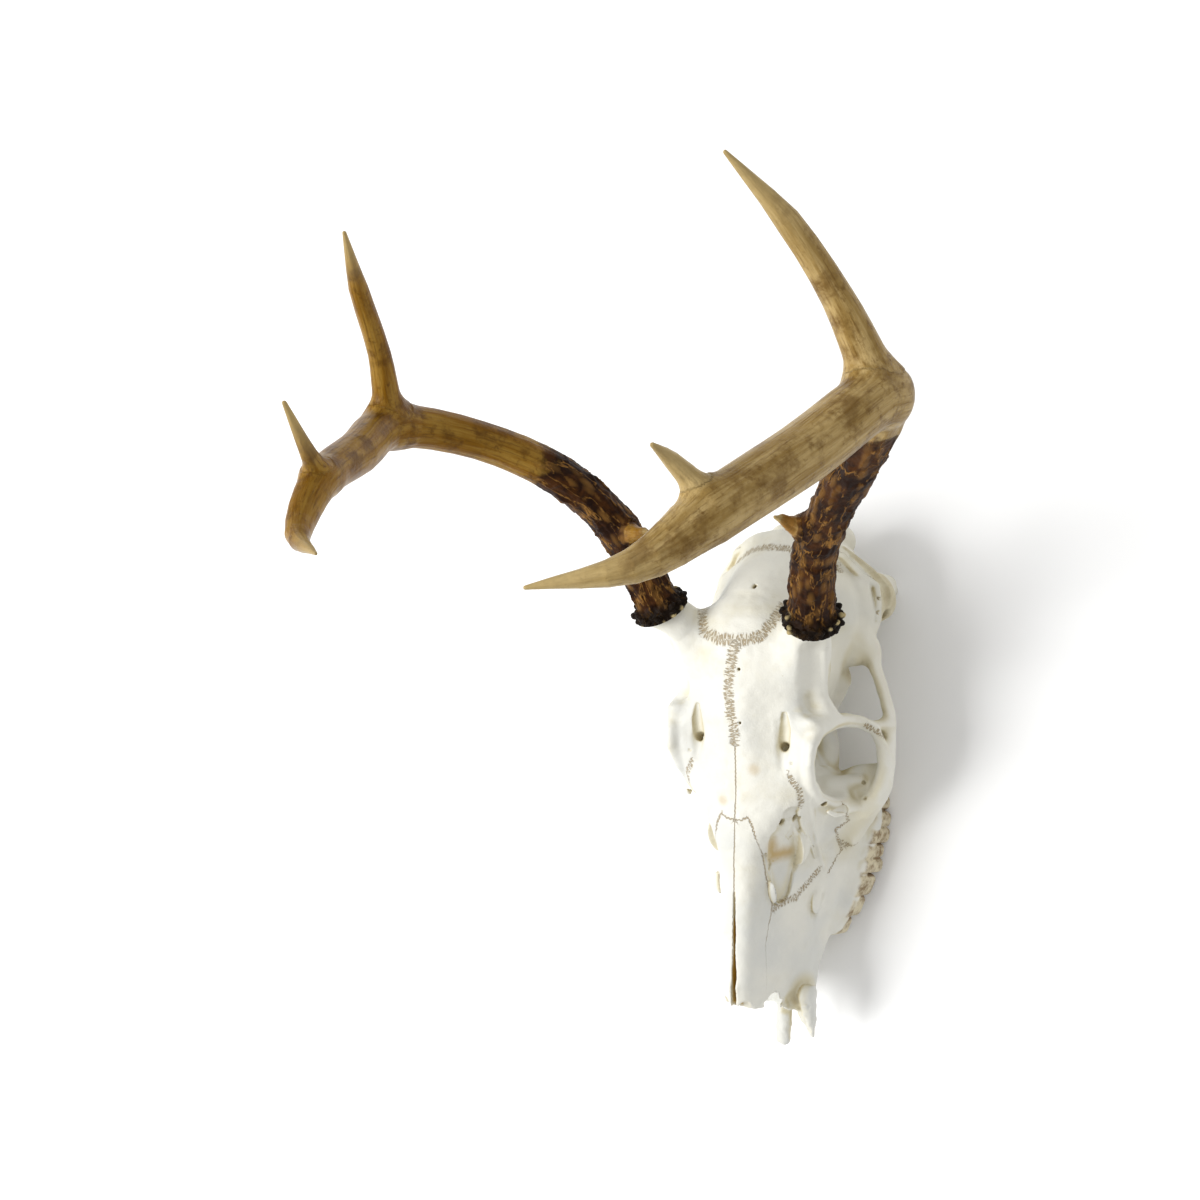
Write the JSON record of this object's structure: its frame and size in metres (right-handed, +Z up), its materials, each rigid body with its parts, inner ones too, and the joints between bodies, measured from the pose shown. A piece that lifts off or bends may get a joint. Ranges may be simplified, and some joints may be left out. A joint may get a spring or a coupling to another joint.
{
  "type": "deer skull with antlers",
  "caption": "Upper skull of a deer buck with its forked antlers, parted along the bone sutures, lying on its rear cheek teeth and the processes behind its ears.",
  "frame": {"origin": "middle of the part's extents in X and Y, on the floor that the skull rests on", "axes": "+X towards the animal's left, +Y towards the back of the skull (the nose points to -Y), +Z up"},
  "size_m": [0.2248, 0.3191, 0.3349],
  "materials": {
    "bone": "matt, dry bleached bone with tan stains in its hollows and sutures",
    "antler": "satin brown antler, darker and beaded at the base, pale at the tips"
  },
  "bodies": {
    "root": {"nasal_left": "bone", "nasal_right": "bone", "parietal": "bone", "frontal_left": "bone", "frontal_right": "bone", "occipital": "bone", "jugal_left": "bone", "jugal_right": "bone", "temporal_left": "bone", "temporal_right": "bone", "lacrimal_left": "bone", "lacrimal_right": "bone", "maxilla_left": "bone", "maxilla_right": "bone", "sphenoid": "bone", "antler_left_lower_beam": "antler", "antler_left_brow_tine": "antler", "antler_left_fork_tine": "antler", "antler_left_upper_beam": "antler", "antler_left_short_tine": "antler", "antler_left_tip": "antler", "antler_right_lower_beam": "antler", "antler_right_brow_tine": "antler", "antler_right_fork_tine": "antler", "antler_right_upper_beam": "antler", "antler_right_short_tine": "antler", "antler_right_tip": "antler"}
  },
  "joints": []
}
